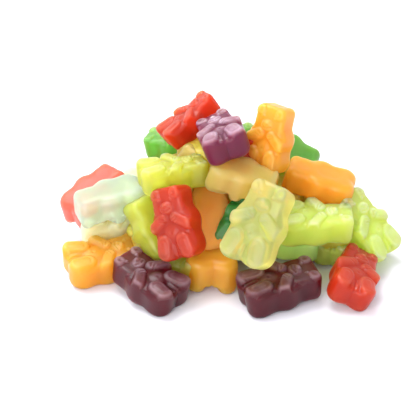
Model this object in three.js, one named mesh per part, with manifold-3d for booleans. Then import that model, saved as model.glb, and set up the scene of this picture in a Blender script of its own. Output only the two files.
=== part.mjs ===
// A loose heap of gummy bears, as tipped out on a flat surface: one solid out to its uneven outline.
// Millimetres, +Z up, the front of the heap towards -Y, the origin under its middle where it rests.

import * as THREE from 'three';
import { mergeVertices } from 'three/addons/utils/BufferGeometryUtils.js';
import Module from 'manifold-3d';

const wasm = await Module();
wasm.setup();

// Driving dimensions of one moulded bear, which lies on its flat back with its head towards +y.
// Its outline is the ellipses of its head, ears, trunk, arms and legs, run into each other.
const HEAD = { x: 0, y: 5.2, halfWidth: 4.5, halfLength: 4.1 };
const EAR = { x: 2.75, y: 7.55, halfWidth: 1.6, halfLength: 1.7 };
const TRUNK = { x: 0, y: -1.6, halfWidth: 5.2, halfLength: 6.9 };
const ARM = { x: 3.95, y: 0.4, halfWidth: 1.9, halfLength: 2.6 };
const LEG = { x: 3.0, y: -5.9, halfWidth: 2.9, halfLength: 3.3 };
const CREASE = 1.8;         // rounding of the creases between them
const DEPTH = 8.2;          // back to front, over the relief
const EDGE = 1.1;           // chamfer of the front and back edges
const MIDDLE = 4.8;         // height above the back of the point that a bear is placed and turned about
const CROTCH = -4.6;        // the outline's rays leave the body's mid line between these heights
const CROWN = 5.6;
const OUTLINE_POINTS = 26;
const LONGEST_RAY = 8;
const RAY_STEP = 0.02;

// The block that cuts the heap off level, wider than the heap and deeper than any bear.
const GROUND = { width: 200, depth: 50 };

// The mound of bears inside the heap, under the ones that show.
const MOUND = { radius: 27, height: 20, y: 1, rings: 8, sides: 24 };

// The bears that lie at the outside of the heap, by colour. Each row is the place of a bear's middle,
// then how the bear is turned: the way its head points in degrees from +X towards +Y, how far the head
// points up, and its turn about its own length, 0 with its front up. Last is its size against the mould's,
// which is 1 where it is left out.
const BEARS = {
  orange: [
    [23, 0, 18, 170, 15, 180, 0.95],
    [-4, -13, 4.5, 90, 0, 180, 1.1],
    [-9, 20.5, 14, 170, 0, 0, 0.95],
  ],
  deepOrange: [
    [-3.5, -7, 11.5, 100, 35, 175],
  ],
  amber: [
    [10.5, -2, 32.5, 55, 70, -5, 0.9],
    [-31, -14, 5, 20, 0, 5],
    [9, 28, 5, 5, 0, 0],
  ],
  red: [
    [-9.5, 9, 31.5, 30, 30, -20, 0.85],
    [2.5, -2.5, 26.5, 70, 55, 15, 0.75],
    [-12.5, -19, 19, 110, 55, -50, 0.95],
    [31, -22, 5.5, 80, 0, 25, 0.95],
    [-21, 19.5, 5, 55, 0, 0, 0.95],
    [9, 19.5, 13, 10, 0, 0, 0.95],
  ],
  coral: [
    [-33.5, 5, 11, 45, 20, 180, 0.95],
  ],
  violet: [
    [-1.5, -3, 34, 100, -10, -20, 0.95],
  ],
  purple: [
    [-19, -24, 5.5, 140, 10, 0],
    [12.5, -25, 5, 20, 5, 0, 1.05],
    [21.5, 20.5, 5, 140, 0, 180],
  ],
  lemon: [
    [7.5, -22, 20.5, 50, 50, 10, 1.1],
    [29.5, 8, 5, 95, 0, 0, 0.95],
  ],
  straw: [
    [3.5, -9, 25, -10, -15, -175, 0.9],
    [24, 8.5, 9.5, 120, 0, 180, 0.9],
    [-10, 0.5, 21, 20, 60, -150, 0.8],
  ],
  lime: [
    [21.5, -11.5, 14.5, 0, 0, 0],
    [34.5, -6, 9.5, 145, 45, 0],
    [27.5, -5, 4.5, 75, 0, 0, 0.85],
    [-16, 14.5, 5, 130, 0, 0, 0.9],
  ],
  deepLime: [
    [-13.5, -7, 26, 15, 0, -10, 0.9],
    [-18.5, -12, 13, 140, 50, 170, 0.85],
    [-8, -13, 5, 60, 0, 0, 0.9],
  ],
  green: [
    [15, 12, 19, -10, -20, -155, 0.9],
    [-0.5, 17.5, 20, 10, 0, 20, 0.85],
    [-13, 16, 21, 165, -10, 0, 0.85],
  ],
  leafGreen: [
    [19.5, -7, 6.5, 0, -5, 0, 0.95],
  ],
  darkGreen: [
    [5, -9, 13.5, 45, 45, 40],
  ],
  mint: [
    [-29, -4.5, 15.5, 200, -5, 180, 0.95],
    [-10, 28, 5.5, 170, 0, 70, 0.95],
  ],
  peach: [
    [-28.5, -1, 7, 10, 0, 0, 0.95],
    [-24.5, 9.5, 9.5, 75, 0, 180, 0.85],
  ],
};

// The heap's colour as one body: golden jelly.
const JELLY = 0xd9a441;
const UP = new THREE.Vector3(0, 0, 1);

// The smaller of two distances, with the crease between them rounded off.
function softMin(a, b, radius) {
  const mix = THREE.MathUtils.clamp(0.5 + 0.5 * (b - a) / radius, 0, 1);
  return THREE.MathUtils.lerp(b, a, mix) - radius * mix * (1 - mix);
}

// How far a point of the bear's front view is outside one lobe's ellipse, and outside the whole outline.
function outsideLobe(x, y, lobe) {
  const reach = Math.hypot((x - lobe.x) / lobe.halfWidth, (y - lobe.y) / lobe.halfLength);
  return (reach - 1) * Math.min(lobe.halfWidth, lobe.halfLength);
}

function outsideBear(x, y) {
  return [HEAD, EAR, TRUNK, ARM, LEG]
    .map((lobe) => outsideLobe(Math.abs(x), y, lobe))
    .reduce((nearest, distance) => softMin(nearest, distance, CREASE));
}

// The outline's points: each ray runs in from outside until it meets the bear.
function bearShape() {
  const points = [];
  for (let i = 0; i < OUTLINE_POINTS; i += 1) {
    const angle = (i + 0.5) / OUTLINE_POINTS * Math.PI * 2;
    const start = THREE.MathUtils.mapLinear(Math.sin(angle), -1, 1, CROTCH, CROWN);
    let reach = LONGEST_RAY;
    while (outsideBear(reach * Math.cos(angle), start + reach * Math.sin(angle)) > 0) reach -= RAY_STEP;
    points.push(new THREE.Vector2(reach * Math.cos(angle), start + reach * Math.sin(angle)));
  }
  return new THREE.Shape(points);
}

// One bear: its outline carried through its depth, with both edges chamfered, centred on its middle.
function bearGeometry() {
  const geometry = new THREE.ExtrudeGeometry(bearShape(), {
    depth: DEPTH - 2 * EDGE,
    bevelThickness: EDGE,
    bevelSize: EDGE,
    bevelOffset: -EDGE,
    bevelSegments: 1,
  });
  return geometry.translate(0, 0, EDGE - MIDDLE);
}

function toSolid(geometry) {
  const bare = geometry.clone();
  bare.deleteAttribute('normal');
  bare.deleteAttribute('uv');
  const merged = mergeVertices(bare);
  const vertProperties = new Float32Array(merged.getAttribute('position').array);
  const triVerts = new Uint32Array(merged.index.array);
  return new wasm.Manifold(new wasm.Mesh({ numProp: 3, vertProperties, triVerts }));
}

function toGeometry(solid) {
  const { vertProperties, triVerts } = solid.getMesh();
  const geometry = new THREE.BufferGeometry();
  geometry.setAttribute('position', new THREE.BufferAttribute(vertProperties, 3));
  geometry.setIndex(new THREE.BufferAttribute(triVerts, 1));
  geometry.computeVertexNormals();
  return geometry;
}

// The bear's own axes in the heap: its side along x, its head along y and its front along z.
function placement([x, y, z, heading, rise, spin, size = 1]) {
  const [turn, tilt, roll] = [heading, rise, spin].map(THREE.MathUtils.degToRad);
  const level = new THREE.Vector3(Math.cos(turn), Math.sin(turn), 0);
  const head = level.clone().multiplyScalar(Math.cos(tilt)).addScaledVector(UP, Math.sin(tilt));
  const above = UP.clone().multiplyScalar(Math.cos(tilt)).addScaledVector(level, -Math.sin(tilt));
  const face = above.applyAxisAngle(head, roll);
  const side = new THREE.Vector3().crossVectors(head, face);
  return new THREE.Matrix4().makeBasis(side, head, face)
    .scale(new THREE.Vector3(size, size, size))
    .setPosition(x, y, z);
}

function moundGeometry() {
  const profile = [new THREE.Vector2(0, 0), new THREE.Vector2(MOUND.radius, 0)];
  for (let i = 1; i <= MOUND.rings; i += 1) {
    const angle = (i / MOUND.rings) * Math.PI / 2;
    profile.push(new THREE.Vector2(MOUND.radius * Math.cos(angle), MOUND.height * Math.sin(angle)));
  }
  profile.at(-1).x = 0;
  return new THREE.LatheGeometry(profile, MOUND.sides).rotateX(Math.PI / 2).translate(0, MOUND.y, 0);
}

// The bears and the mound under them become one body, cut level where it meets the surface it lies on.
// Closed pockets between bears are left out: only the outer body stays.
function heapSolid() {
  const bear = bearGeometry();
  const rows = Object.values(BEARS).flat();
  const bears = rows.map((row) => toSolid(bear.clone().applyMatrix4(placement(row))));
  const ground = new THREE.BoxGeometry(GROUND.width, GROUND.width, GROUND.depth);
  const below = toSolid(ground.translate(0, 0, -GROUND.depth / 2));
  const joined = wasm.Manifold.union([toSolid(moundGeometry()), ...bears]).subtract(below);
  return joined.decompose().reduce((largest, body) => (body.volume() > largest.volume() ? body : largest));
}

const heap = new THREE.Mesh(
  toGeometry(heapSolid()),
  new THREE.MeshStandardMaterial({ color: JELLY, roughness: 0.45, metalness: 0 }),
);
heap.name = 'heap';

const root = new THREE.Group();
root.add(heap);

export default root;
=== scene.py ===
import math

import bpy
import numpy as np
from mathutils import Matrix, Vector


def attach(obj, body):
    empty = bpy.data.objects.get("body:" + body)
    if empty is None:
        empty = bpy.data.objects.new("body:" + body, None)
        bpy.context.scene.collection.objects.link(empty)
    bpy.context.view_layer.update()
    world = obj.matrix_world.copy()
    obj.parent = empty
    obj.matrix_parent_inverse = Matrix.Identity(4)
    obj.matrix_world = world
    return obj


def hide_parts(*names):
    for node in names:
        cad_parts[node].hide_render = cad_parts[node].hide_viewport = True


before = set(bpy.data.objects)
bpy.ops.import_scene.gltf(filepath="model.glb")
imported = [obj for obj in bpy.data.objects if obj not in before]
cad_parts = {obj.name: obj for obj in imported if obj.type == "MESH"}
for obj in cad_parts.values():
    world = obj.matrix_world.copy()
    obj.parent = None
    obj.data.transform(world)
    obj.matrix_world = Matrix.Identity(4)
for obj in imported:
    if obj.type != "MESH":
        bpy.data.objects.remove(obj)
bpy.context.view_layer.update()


# ---- Orange bears -----------------------------------------------------------------------------
# Gelatine jelly, boiled with sugar and poured into bear-shaped dents pressed in trays of starch.
# The dent gives the relief of the front; the open side of the pour sets as the bear's flat back.
# They are dropped in a heap, so every one leans on its neighbours.

MM = 0.001

# The mould, in mm: the bear lies on its back with its head towards +y and its front up. Its outline
# is five ellipses, each given by its middle's x and y, its half width and its half length.
HEAD = (0, 5.2, 4.5, 4.1)
EAR = (2.75, 7.55, 1.6, 1.7)
TRUNK = (0, -1.6, 5.2, 6.9)
ARM = (3.95, 0.4, 1.9, 2.6)
LEG = (3.0, -5.9, 2.9, 3.3)
CREASES = ((EAR, 1.3), (TRUNK, 1.8), (ARM, 1.8), (LEG, 2.0))   # how wide each one's crease is filled
MIDDLE = 4.8                        # height above the back of the point that a bear is turned about
SPREAD = 0.05                       # how much the walls widen towards the front, for each mm of height
FRONT_EDGE, BACK_EDGE = 0.8, 2.4    # rounding of the edges round the front and round the back
SINK, SINK_RIM = 0.4, 3.0           # hollow of the back, and how far in from the wall it is full
SKIRT = 3                           # how steeply a part's side falls past its rim
PLATEAU, SHALLOW = 7.7, 0.72        # level that the relief keeps, and how far the rest is evened out

# The skin's grid: rays leave a line up the bear's middle and end where they come out of the bear.
SPINE_LOW, SPINE_HIGH = -4.6, 5.6   # ends of that line
SPINE_LIFT = 4.2                    # its height above the back
FAN = 0.29                          # share of the rows that fan out round each end
FRONT = 0.62                        # share of the columns on the front half
RAY_START, RAY_END, RAY_STEP = 0.3, 9.3, 0.15
HALVINGS = 12                       # brings a step down to a thirtieth of a micron

# Where the skin is painted paler, partly as starch dust and partly as painted highlight on the pad
# tops and rims: height above the back or bend per mm at which it begins to show, then how much more
# it takes to show in full.
PAD_LOW, PAD_SPAN = 7.5, 0.6
RIM_LOW, RIM_SPAN = 6.2, 1.0
BEND_LOW, BEND_SPAN = 0.4, 1.6
PAD_DUST_AND_HIGHLIGHT, RIDGE_HIGHLIGHT = 0.5, 0.6     # how pale the pad tops are painted (dust and painted highlight), and the ridges (painted highlight)

# How far one bear differs from the next: bow and sideways bend in mm, and twist in radians.
MOST_BENT = (0.5, 0.45, 0.09)
HALF_LENGTH = 9                     # the length that the bend and the twist are measured along
BEND_REST = 0.3                     # taken off the bend, so that a bent bear stays about its middle
SEED_STEP = 31                      # sets the draws of one piece's bears apart from the next's


def soft_least(a, b, k):
    """The smaller of a and b, with the crease between them filled over a width k."""
    h = np.clip(0.5 + 0.5 * (b - a) / k, 0, 1)
    return b + (a - b) * h - k * h * (1 - h)


def soft_most(a, b, k):
    """The larger of a and b, with the ridge between them rounded over a width k."""
    return -soft_least(-a, -b, k)


def oval(x, y, cx, cy, rx, ry):
    """How far (x, y) is from an ellipse's middle, in radii: the root of the two scaled squares."""
    u = (x - cx) / rx
    v = (y - cy) / ry
    return np.sqrt(u * u + v * v)


def lobe(x, y, shape):
    """How far (x, y) lies outside an ellipse: its distance in radii less one, times the smaller radius."""
    return (oval(x, y, *shape) - 1) * min(shape[2:])


def outline(x, y):
    """The bear seen from the front: five ellipses melted together, negative inside."""
    x = np.abs(x)
    d = lobe(x, y, HEAD)
    for shape, crease in CREASES:
        d = soft_least(d, lobe(x, y, shape), crease)
    return d


def dome(q, low, top, power=2):
    """A cap: top at the middle, falling as the root of one less q to a power, then a steep skirt."""
    inside = low + (top - low) * np.sqrt(np.maximum(1 - q ** power, 0))
    return np.where(q < 1, inside, low - SKIRT * (q - 1))


def limb(x, y, x0, y0, x1, y1, radius):
    """How far (x, y) is from the line between two joints, in radii of the limb."""
    dx, dy = x1 - x0, y1 - y0
    t = np.clip(((x - x0) * dx + (y - y0) * dy) / (dx * dx + dy * dy), 0, 1)
    return np.hypot(x - x0 - t * dx, y - y0 - t * dy) / radius


def dent(q, depth):
    """A round-bottomed hollow: depth times e to the minus 2.2 q squared, gone by q of one and a half."""
    return depth * np.exp(-2.2 * q * q)


def relief(x, y):
    """Height of the front over the back: the highest of a cap for each part, with the ridges
    between them rounded, less small hollows pressed in, all evened out about the plateau."""
    x = np.abs(x)
    h = dome(oval(x, y, 0, 5.2, 5.0, 4.6), 6.6, 7.7, 3)                                # face
    h = soft_most(h, dome(oval(x, y, 3.0, 7.6, 1.7, 1.7), 6.8, 8.2, 4), 0.3)           # ears
    h = soft_most(h, dome(oval(x, y, 0, 4.1, 2.2, 1.8), 6.8, 8.7, 3), 0.3)             # snout
    h = soft_most(h, dome(oval(x, y, 0, 4.9, 0.9, 0.65), 8.1, 9.1), 0.2)               # nose
    h = soft_most(h, dome(oval(x, y, 1.9, 6.4, 0.65, 0.65), 7.0, 8.2), 0.2)            # eyes
    h = soft_most(h, dome(oval(x, y, 0, -1.2, 5.4, 7.2), 6.5, 7.4, 3), 0.4)            # chest
    h = soft_most(h, dome(oval(x, y, 0, -2.4, 2.3, 2.4), 6.6, 8.0), 0.4)               # belly
    h = soft_most(h, dome(limb(x, y, 5.2, -0.6, 1.9, 1.5, 1.5), 6.8, 8.4, 4), 0.35)    # arms
    h = soft_most(h, dome(limb(x, y, 3.5, -7.4, 2.9, -4.5, 2.15), 6.8, 8.5, 4), 0.35)  # legs
    h = h - dent(oval(x, y, 3.0, 7.7, 0.8, 0.8), 0.5)                                  # ears' cups
    h = h - dent(limb(x, y, 0.25, 3.4, 1.3, 3.8, 0.35), 0.45)                          # mouth
    h = h - dent(limb(x, y, 1.2, 1.2, 2.3, 1.8, 0.3), 0.35)                            # paws' creases
    h = h - dent(limb(x, y, 1.2, 0.4, 2.5, 0.9, 0.3), 0.35)
    h = h - dent((limb(x, y, 3.3, -6.9, 3.0, -4.9, 1.1) - 1) * 2.2, 0.22)              # soles' rings
    h = h - dent(oval(x, y, 0, -2.4, 0.55, 0.55), 0.35)                                # navel
    h = h - dent(limb(x, y, 0, -5.4, 0, -9.5, 0.6), 0.5)                               # between legs
    return PLATEAU + SHALLOW * (h - PLATEAU)


def solid(x, y, z):
    """The bear as a field, negative inside: walls, relief and back cut together, edges rounded.
    The back is hollowed a little, as a pour shrinks while it sets."""
    side = outline(x, y)
    front = soft_most(side - SPREAD * (z - MIDDLE), z - relief(x, y), FRONT_EDGE)
    back = SINK * np.clip(-side / SINK_RIM, 0, 1) - z
    return soft_most(front, back, BACK_EDGE)


def mould(rows, columns):
    """Rays leave a line up the bear's middle, fanned round its two ends; each runs out to the
    last place where the field is zero, found by halving. Gives points as rows by columns by 3."""
    share = np.linspace(0, 1, rows)
    rise = np.interp(share, [0, FAN, 1 - FAN, 1], [-math.pi / 2, 0, 0, math.pi / 2])
    start = np.interp(share, [FAN, 1 - FAN], [SPINE_LOW, SPINE_HIGH])
    about = np.interp(np.arange(columns) / columns, [0, FRONT, 1], [0, math.pi, 2 * math.pi])
    rise, about = np.meshgrid(rise, about, indexing="ij")
    way = np.stack([np.cos(rise) * np.cos(about), np.sin(rise), np.cos(rise) * np.sin(about)], -1)
    root = np.stack([0 * rise, np.repeat(start[:, None], columns, 1), 0 * rise + SPINE_LIFT], -1)
    reach = np.linspace(RAY_START, RAY_END, round((RAY_END - RAY_START) / RAY_STEP) + 1)
    trial = root + reach[:, None, None, None] * way
    inside = solid(*np.moveaxis(trial, -1, 0)) < 0
    last = len(reach) - 1 - np.argmax(inside[::-1], axis=0)
    near = reach[last]
    far = near + RAY_STEP
    for _ in range(HALVINGS):
        half = (near + far) / 2
        within = solid(*np.moveaxis(root + half[..., None] * way, -1, 0)) < 0
        near, far = np.where(within, half, near), np.where(within, far, half)
    return root + near[..., None] * way


def skin(rows, columns):
    """Faces of the closed grid, whose first and last rows are one point each: quads between
    neighbouring rows, and a fan of triangles at each end point."""
    r, c = np.meshgrid(np.arange(rows - 3), np.arange(columns), indexing="ij")
    a, b = 1 + r * columns + c, 1 + r * columns + (c + 1) % columns
    quads = np.stack([a, a + columns, b + columns, b], -1).reshape(-1, 4)
    c = np.arange(columns)
    south = np.stack([0 * c, 1 + c, 1 + (c + 1) % columns], -1)
    end = 1 + (rows - 2) * columns
    north = np.stack([0 * c + end, end - columns + (c + 1) % columns, end - columns + c], -1)
    return quads, np.concatenate([south, north])


def ridges(p):
    """How sharply the skin bulges at each point, per mm: the bend of the grid lines through it,
    measured outwards. Nothing on flat or hollow places, one on the rims of the pads."""
    up, down = np.roll(p, -1, 0), np.roll(p, 1, 0)
    left, right = np.roll(p, 1, 1), np.roll(p, -1, 1)
    outward = np.cross(up - down, right - left)
    outward /= np.linalg.norm(outward, axis=-1, keepdims=True) + 1e-9
    outward *= np.sign(np.sum(outward * (p - p.mean((0, 1))), axis=-1, keepdims=True))
    bend = 0
    for a, b in ((up, down), (left, right)):
        step = (np.sum((a - p) ** 2, -1) + np.sum((b - p) ** 2, -1)) / 2 + 0.02   # never nothing
        bend = bend - np.sum((a + b - 2 * p) * outward, -1) / step
    bend[:2], bend[-2:] = 0, 0
    sharp = np.clip((bend - BEND_LOW) / BEND_SPAN, 0, 1)
    return sharp * np.clip((p[..., 2] - RIM_LOW) / RIM_SPAN, 0, 1)


def pattern(rows, columns):
    """The bear to cast: its points, how pale each one is painted (starch dust and painted highlight),
    and its quads and end triangles.
    """
    p = mould(rows, columns)
    # The pale share is starch dust and painted highlight on the pad tops, and painted highlight on the
    # rims.
    dust_and_highlight_share = np.clip((p[..., 2] - PAD_LOW) / PAD_SPAN, 0, 1) * PAD_DUST_AND_HIGHLIGHT + ridges(p) * RIDGE_HIGHLIGHT
    return p, dust_and_highlight_share, *skin(rows, columns)


FINE = pattern(112, 96)    # for the bears at the outside of the heap
PLAIN = pattern(56, 48)    # for the ones inside it


def turned(heading, rise, spin):
    """A bear's across, up and front directions as columns: its head points along heading in plan
    and rise above the table, and its front is then turned about its length by spin, in degrees."""
    h, r, s = np.radians([heading, rise, spin])
    up = np.array([math.cos(h) * math.cos(r), math.sin(h) * math.cos(r), math.sin(r)])
    out = np.array([-math.cos(h) * math.sin(r), -math.sin(h) * math.sin(r), math.cos(r)])
    front = math.cos(s) * out + math.sin(s) * np.cross(up, out)
    return np.stack([np.cross(up, front), up, front], 1)


def cast(bear, seed, p):
    """One bear out of the mould, where it lies: slightly bent by the square of the way along it and
    twisted evenly, then turned, scaled and moved; what would be under the table is flattened onto it."""
    x, y, z, heading, rise, spin, size = bear
    bow, lean, wring = np.random.default_rng(seed).uniform(-1, 1, 3) * MOST_BENT
    along = p[..., 1] / HALF_LENGTH
    twist = wring * along
    bend = along ** 2 - BEND_REST
    px, pz = p[..., 0], p[..., 2] - MIDDLE
    qx = np.cos(twist) * px - np.sin(twist) * pz + lean * bend
    qz = np.sin(twist) * px + np.cos(twist) * pz + bow * bend
    q = np.stack([qx, p[..., 1], qz], -1) * size
    w = q @ turned(heading, rise, spin).T + np.array([x, y, z])
    w[..., 2] = np.maximum(w[..., 2], 0.0)
    return np.vstack([w[0].mean(0), w[1:-1].reshape(-1, 3), w[-1].mean(0)])


def to_linear(colour):
    """sRGB hex as linear red, green, blue and alpha."""
    parts = [int(colour[i:i + 2], 16) / 255 for i in (1, 3, 5)]
    return [c / 12.92 if c <= 0.04045 else ((c + 0.055) / 1.055) ** 2.4 for c in parts] + [1.0]


def node(tree, kind, settings, wires):
    """Adds one node: settings go on its properties or its sockets, wires feed its sockets. A socket
    goes by its name, or by its number where two have the same name."""
    made = tree.nodes.new(kind)
    for key, value in settings.items():
        if isinstance(key, str) and hasattr(made, key):
            setattr(made, key, value)
        else:
            made.inputs[key].default_value = value
    for key, source in wires.items():
        tree.links.new(source, made.inputs[key])
    return made


IOR = 1.42                                # of a thick syrup of sugar and gelatine
SHEEN = 0.15                              # a film of oil that has mostly soaked in
WANDER = (16 * MM, 12 * MM, 8 * MM)       # how far red, green and blue light stray in the jelly
SLEEK, MATT = 0.3, 0.46                   # roughness of the bare skin and of dusty skin
PATCH = 3.5 * MM                          # patches of starch that were not blown off
PATCH_LOW, PATCH_HIGH = 0.3, 0.7          # where the noise stands for no patch and for a full one
BETWEEN = 0.3                             # share of the pale skin, dust and painted highlight, that stays between patches
GRAIN = 0.45 * MM                         # print of the starch, drawn coarser than its grains to show
PRINT, PRINT_DEPTH = 0.25, 0.15 * MM      # strength and depth of that print


def jelly(name, body, glow, dust_and_highlight, clear, density, dust_and_highlight_strength):
    """Poured gelatine jelly. It is see-through but cloudy, so that thin parts glow and thick ones
    deepen; where it touched the starch it is duller and paler, most of all on the raised pads and
    their rims, and that paler colour is partly starch dust and partly painted highlight. Its three
    colours are those of its mass, of the light through it and of its paler skin; clear is the share
    that light goes straight through, density what it absorbs per metre, and the last how much of
    the paler colour, starch and painted highlight, is mixed in."""
    material = bpy.data.materials.new(name)
    material.use_nodes = True
    tree = material.node_tree
    tree.nodes.clear()
    place = {"Vector": node(tree, "ShaderNodeTexCoord", {}, {}).outputs["Object"]}
    front = node(tree, "ShaderNodeAttribute", {"attribute_name": "front"}, {}).outputs["Fac"]
    cloud = node(tree, "ShaderNodeTexNoise", {"Scale": 1 / PATCH, "Detail": 2.0}, place)
    grain = node(tree, "ShaderNodeTexNoise", {"Scale": 1 / GRAIN, "Detail": 3.0}, place)
    patches = node(tree, "ShaderNodeMapRange", {
        "From Min": PATCH_LOW,
        "From Max": PATCH_HIGH,
        "To Min": BETWEEN * dust_and_highlight_strength,
        "To Max": dust_and_highlight_strength,
    }, {"Value": cloud.outputs["Fac"]})
    # How much of the paler skin colour is mixed in at each point: starch dust and painted highlight.
    dust_and_highlight_mix = node(tree, "ShaderNodeMath", {"operation": "MULTIPLY"}, {
        0: front,
        1: patches.outputs[0],
    }).outputs[0]
    tint = node(tree, "ShaderNodeMix", {
        "data_type": "RGBA",
        6: to_linear(body),
        7: to_linear(dust_and_highlight),
    }, {0: dust_and_highlight_mix})
    rough = node(tree, "ShaderNodeMapRange", {"To Min": SLEEK, "To Max": MATT}, {"Value": dust_and_highlight_mix})
    lumps = node(tree, "ShaderNodeBump", {"Strength": PRINT, "Distance": PRINT_DEPTH}, {
        "Height": grain.outputs["Fac"],
    })
    shader = node(tree, "ShaderNodeBsdfPrincipled", {
        "IOR": IOR,
        "Specular IOR Level": SHEEN,
        "Subsurface Weight": 1.0,
        "Subsurface Scale": 1.0,
        "Subsurface Radius": WANDER,
        "Transmission Weight": clear,
    }, {
        "Base Color": tint.outputs[2],
        "Roughness": rough.outputs[0],
        "Normal": lumps.outputs[0],
    })
    depth = node(tree, "ShaderNodeVolumeAbsorption", {"Density": density, "Color": to_linear(glow)}, {})
    node(tree, "ShaderNodeOutputMaterial", {}, {
        "Surface": shader.outputs[0],
        "Volume": depth.outputs[0],
    })
    return material


def pour(name, bears, material, model=FINE):
    """One piece for each colour: all its bears in one mesh, each a closed skin of its own. A row is
    the place of a bear's middle in mm, then its heading, rise and spin, then its size, 1 as moulded."""
    p, dust_and_highlight_share, quads, fans = model
    # Each point's share of the paler skin colour: starch dust and painted highlight.
    dust_and_highlight = np.concatenate([[0.0], dust_and_highlight_share[1:-1].ravel(), [0.0]])
    first = sum(map(ord, name)) * SEED_STEP
    points = np.vstack([cast(bear, first + number, p) * MM for number, bear in enumerate(bears)])
    starts = np.arange(len(bears))[:, None, None] * len(dust_and_highlight)
    four = (quads + starts).reshape(-1, 4)
    three = (fans + starts).reshape(-1, 3)
    mesh = bpy.data.meshes.new(name)
    mesh.vertices.add(len(points))
    mesh.vertices.foreach_set("co", points.ravel())
    corners = np.concatenate([four.ravel(), three.ravel()])
    mesh.loops.add(len(corners))
    mesh.loops.foreach_set("vertex_index", corners.astype(np.int32))
    loops = np.concatenate([np.arange(len(four)) * 4, len(four) * 4 + np.arange(len(three)) * 3])
    mesh.polygons.add(len(loops))
    mesh.polygons.foreach_set("loop_start", loops.astype(np.int32))
    mesh.update(calc_edges=True)
    mesh.validate()
    mesh.shade_smooth()
    # The point attribute front carries that share of starch dust and painted highlight.
    layer = mesh.attributes.new("front", "FLOAT", "POINT")
    layer.data.foreach_set("value", np.tile(dust_and_highlight, len(bears)).astype(np.float32))
    mesh.materials.append(material)
    piece = bpy.data.objects.new(name, mesh)
    bpy.context.scene.collection.objects.link(piece)
    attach(piece, "root")
    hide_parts("heap")


# Orange jelly is half clear, so it glows at its edges; the deep one is cloudy and even all over, and
# its colour is painted brighter than its own, as painted light for the shade between the bears round it.
pour("bears_orange", [
    (23, 0, 18, 170, 15, 180, 0.95),
    (-4, -13, 4.5, 90, 0, 180, 1.1),
    (-9, 20.5, 14, 170, 0, 0, 0.95),
], jelly("orange jelly", "#E8982C", "#FFB038", "#ECB874", 0.45, 34, 0.3))

# Painted light: this jelly is made paler and brighter to make up for the shade it lies in.
pour("bears_deep_orange", [
    (-3.5, -7, 11.5, 100, 35, 175, 1),
], jelly("deep orange jelly", "#FF9446", "#FFA858", "#FFB888", 0.05, 14, 0.3))

# ---- Amber bears ------------------------------------------------------------------------------
# Poured from the same mould in a golden jelly. One stands on its feet at the top of the heap,
# held by the bears round it; the others lie on the table.

# Amber jelly is half clear, with a light pale skin of dust and painted highlight: it looks golden
# where thin and brown where thick.
pour("bears_amber", [
    (10.5, -2, 32.5, 55, 70, -5, 0.9),
    (-31, -14, 5, 20, 0, 5, 1),
    (9, 28, 5, 5, 0, 0, 1),
], jelly("amber jelly", "#E0982A", "#FFB03C", "#E8B870", 0.45, 40, 0.35))

# ---- Red bears --------------------------------------------------------------------------------
# Poured from the same mould in a red jelly, and one in a weaker coral one that took less colour.
# They lie at the top, against the front and the back, and round the foot of the heap.

# Red jelly lets only red light far in, so its walls are deep; its pads are painted pinkish, partly
# for starch and partly as painted highlight.
pour("bears_red", [
    (-9.5, 9, 31.5, 30, 30, -20, 0.85),
    (2.5, -2.5, 26.5, 70, 55, 15, 0.75),
    (-12.5, -19, 19, 110, 55, -50, 0.95),
    (31, -22, 5.5, 80, 0, 25, 0.95),
    (-21, 19.5, 5, 55, 0, 0, 0.95),
    (9, 19.5, 13, 10, 0, 0, 0.95),
], jelly("red jelly", "#B42E12", "#FC5A2C", "#D06C50", 0.5, 44, 0.4))

# Coral jelly is milky, with a soft pink skin.
pour("bears_coral", [
    (-33.5, 5, 11, 45, 20, 180, 0.95),
], jelly("coral jelly", "#CC5C4C", "#F88070", "#ECA89C", 0.45, 34, 0.5))

# ---- Purple bears -----------------------------------------------------------------------------
# Poured from the same mould in a grape-coloured jelly, the darkest of the colours. The violet one
# lies across the top of the heap, and the purple ones on the table.

# Violet jelly keeps the most starch, which shows as a grey bloom over its front; the bloom is also
# painted highlight, a sheen of the light on its relief.
pour("bears_violet", [
    (-1.5, -3, 34, 100, -10, -20, 0.95),
], jelly("violet jelly", "#6A1E42", "#B84484", "#D0B4C8", 0.5, 40, 1.0))

# Purple jelly is very dark where thick, and wine red where light comes through.
pour("bears_purple", [
    (-19, -24, 5.5, 140, 10, 0, 1),
    (12.5, -25, 5, 20, 5, 0, 1.05),
    (21.5, 20.5, 5, 140, 0, 180, 1),
], jelly("purple jelly", "#560A18", "#DC3440", "#BC9CA8", 0.58, 42, 0.7))

# ---- Lemon bears ------------------------------------------------------------------------------
# Poured from the same mould in a weak yellow jelly. The large lemon one leans on the front of the
# heap and the other lies on the table; the straw ones, from a browner batch, lie higher up.

# Lemon jelly is the clearest, so what lies behind it shows through as a faint tint.
pour("bears_lemon", [
    (7.5, -22, 20.5, 50, 50, 10, 1.1),
    (29.5, 8, 5, 95, 0, 0, 0.95),
], jelly("lemon jelly", "#FAF08C", "#FCF680", "#FCFAD0", 0.84, 16, 0.4))

# Straw jelly is cloudier, with a creamy skin.
pour("bears_straw", [
    (3.5, -9, 25, -10, -15, -175, 0.9),
    (24, 8.5, 9.5, 120, 0, 180, 0.9),
    (-10, 0.5, 21, 20, 60, -150, 0.8),
], jelly("straw jelly", "#E8C468", "#FCDC68", "#F4E4B0", 0.6, 34, 0.45))

# ---- Lime bears -------------------------------------------------------------------------------
# Poured from the same mould in a yellow-green jelly. The pale ones lie mostly at the right of the
# heap, and the deeper ones at its left, in a darker copy of the jelly that is painted shade.

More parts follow.
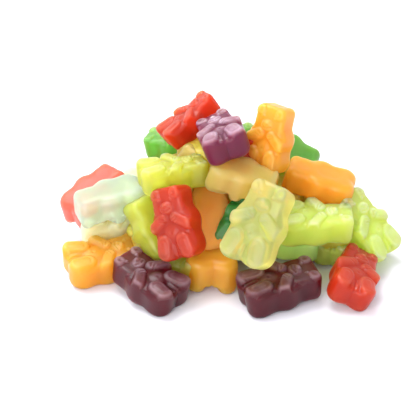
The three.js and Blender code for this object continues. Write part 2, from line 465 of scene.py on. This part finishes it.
# Lime jelly is pale, with a frosty bloom on its pads that is partly starch and partly painted highlight.
pour("bears_lime", [
    (21.5, -11.5, 14.5, 0, 0, 0, 1),
    (34.5, -6, 9.5, 145, 45, 0, 1),
    (27.5, -5, 4.5, 75, 0, 0, 0.85),
    (-16, 14.5, 5, 130, 0, 0, 0.9),
], jelly("lime jelly", "#CCE060", "#E0F874", "#E8F4CC", 0.55, 24, 0.7))

# Deep lime jelly is clearer and yellower, with less dust and painted highlight on it, and darker: a
# copy of the lime jelly with painted shade, so that these bears come out no brighter than the others.
pour("bears_deep_lime", [
    (-13.5, -7, 26, 15, 0, -10, 0.9),
    (-18.5, -12, 13, 140, 50, 170, 0.85),
    (-8, -13, 5, 60, 0, 0, 0.9),
], jelly("deep lime jelly", "#C8D04E", "#E0EC64", "#E0E8A8", 0.62, 30, 0.5))

# ---- Green bears ------------------------------------------------------------------------------
# Poured from the same mould in two strengths of green jelly. The middling ones lie behind the top of
# the heap and a dark green one deep in the front; a leaf green one under the limes has a brightened
# copy of the green jelly, painted light for the shade it lies in.

# Green jelly is clear enough to look fresh and bright against the light.
pour("bears_green", [
    (15, 12, 19, -10, -20, -155, 0.9),
    (-0.5, 17.5, 20, 10, 0, 20, 0.85),
    (-13, 16, 21, 165, -10, 0, 0.85),
], jelly("green jelly", "#68B048", "#8CE060", "#B0DC9C", 0.6, 36, 0.4))

# Leaf green jelly is cloudy and painted brighter than the green jelly: painted light, because little
# light gets under the bears above it.
pour("bears_leaf_green", [
    (19.5, -7, 6.5, 0, -5, 0, 0.95),
], jelly("leaf green jelly painted bright", "#BCFA7C", "#C8FF98", "#D4F4B4", 0.1, 20, 0.3))

# Dark green jelly swallows most light, like bottle glass.
pour("bears_dark_green", [
    (5, -9, 13.5, 45, 45, 40, 1),
], jelly("dark green jelly", "#1E8434", "#48C058", "#60A86C", 0.5, 40, 0.5))

# ---- Pale bears -------------------------------------------------------------------------------
# Poured from the same mould with next to no colour. The mint ones lie at the left and the back of
# the heap, and the peach ones under and behind the mint one at the left.

# Mint jelly looks like frosted glass, with a cool tinge.
pour("bears_mint", [
    (-29, -4.5, 15.5, 200, -5, 180, 0.95),
    (-10, 28, 5.5, 170, 0, 70, 0.95),
], jelly("mint jelly", "#D0E2C4", "#E4F0D4", "#E0E8D8", 0.7, 30, 0.4))

# Peach jelly is milkier, like candle wax.
pour("bears_peach", [
    (-28.5, -1, 7, 10, 0, 0, 0.95),
    (-24.5, 9.5, 9.5, 75, 0, 180, 0.85),
], jelly("peach jelly", "#FFE8AC", "#FFF0B8", "#FCF0D0", 0.3, 26, 0.3))

# ---- Bears inside -----------------------------------------------------------------------------
# The bears that carry the others, in three rough layers. They are the same sweets, cast with a
# coarser skin and in one colour because next to nothing of them shows.

# A plain golden jelly, which passes a warm light on to the clear bears in front of it.
pour("bears_inside", [
    (-12, -2, 4.6, 15, 0, 0, 0.92),
    (7, -2, 4.6, 160, 0, 0, 0.92),
    (20, 5, 4.6, 60, 0, 180, 0.92),
    (-4, 8, 4.6, 120, 0, 0, 0.92),
    (13, 15, 4.6, 20, 0, 0, 0.92),
    (0, 2, 13.5, 200, 0, 0, 0.92),
    (14, 4, 13.5, 80, 0, 0, 0.92),
    (-13, 4, 14, 90, 0, 180, 0.92),
    (3, 12, 13.5, 30, 0, 0, 0.92),
    (-8, 4, 21, 20, 10, 0, 0.88),
    (7, 6, 20, 100, 0, 180, 0.88),
    (-5, 2, 25, 150, 0, 180, 0.8),
    (-20, -6, 7, 110, 0, 0, 0.88),
    (-22, 2, 6, 20, 0, 0, 0.85),
    (26, -4, 7, 90, 0, 0, 0.85),
], jelly("inner jelly", "#F2CC48", "#F8D850", "#F0DC90", 0.4, 40, 0.3), PLAIN)

# ---- Table, light and camera ------------------------------------------------------------------
# The heap lies on a matt white board in a bright room, brightest low down all round. One large
# soft light hangs over it and another stands at its left in front, so shadows are short and faint.

BOARD_REACH = 3                           # metres from the heap to the board's edges
BOARD_ROUGHNESS = 0.9                     # unpolished, so it mirrors nothing
ROOM_LOW, ROOM_HIGH = 1.6, 1.1            # brightness of the room at eye level and overhead
LAMP_SIDE = 0.5                           # metres
LAMP_AIM = (0, 0, 0.02)
CAMERA_AIM = Vector((-4.3, 0.5, 10)) * MM
CAMERA_RISE = math.radians(33)            # how far the camera looks down
CAMERA_DISTANCE = 0.46
SENSOR_WIDTH, FOCAL_LENGTH = 36, 155.7    # mm

plane = bpy.data.meshes.new("board")
reach = BOARD_REACH
plane.from_pydata([(-reach, -reach, 0), (reach, -reach, 0), (reach, reach, 0), (-reach, reach, 0)],
                  [], [(0, 1, 2, 3)])
board = bpy.data.objects.new("board", plane)
bpy.context.scene.collection.objects.link(board)
white = bpy.data.materials.new("matt white board")
white.use_nodes = True
finish = white.node_tree.nodes["Principled BSDF"].inputs
finish["Base Color"].default_value = to_linear("#D6D6DE")
finish["Roughness"].default_value = BOARD_ROUGHNESS
plane.materials.append(white)

world = bpy.data.worlds.new("room")
bpy.context.scene.world = world
world.use_nodes = True
tree = world.node_tree
sky = tree.nodes["Background"]
sky.inputs["Color"].default_value = (1, 1, 1, 1)
place = node(tree, "ShaderNodeTexCoord", {}, {})
height = node(tree, "ShaderNodeSeparateXYZ", {}, {"Vector": place.outputs["Generated"]})
level = node(tree, "ShaderNodeMapRange", {"To Min": ROOM_LOW, "To Max": ROOM_HIGH}, {
    "Value": height.outputs["Z"],
})
tree.links.new(level.outputs[0], sky.inputs["Strength"])


def softbox(name, place, watts):
    """A square area light at place, in metres, that faces the heap."""
    lamp = bpy.data.lights.new(name, "AREA")
    lamp.size = LAMP_SIDE
    lamp.energy = watts
    made = bpy.data.objects.new(name, lamp)
    made.location = place
    made.rotation_euler = (Vector(LAMP_AIM) - Vector(place)).to_track_quat("-Z", "Y").to_euler()
    bpy.context.scene.collection.objects.link(made)


softbox("overhead", (-0.2, 0.15, 0.6), 6.5)
softbox("front", (-0.3, -0.6, 0.35), 5.0)

lens = bpy.data.cameras.new("camera")
lens.sensor_width = SENSOR_WIDTH
lens.lens = FOCAL_LENGTH
lens.clip_start = 0.01
lens.clip_end = 20
camera = bpy.data.objects.new("camera", lens)
bpy.context.scene.collection.objects.link(camera)
back = Vector((0, -math.cos(CAMERA_RISE), math.sin(CAMERA_RISE)))
camera.location = CAMERA_AIM + back * CAMERA_DISTANCE
camera.rotation_euler = (-back).to_track_quat("-Z", "Y").to_euler()
bpy.context.scene.camera = camera
bpy.context.scene.view_settings.view_transform = "Standard"
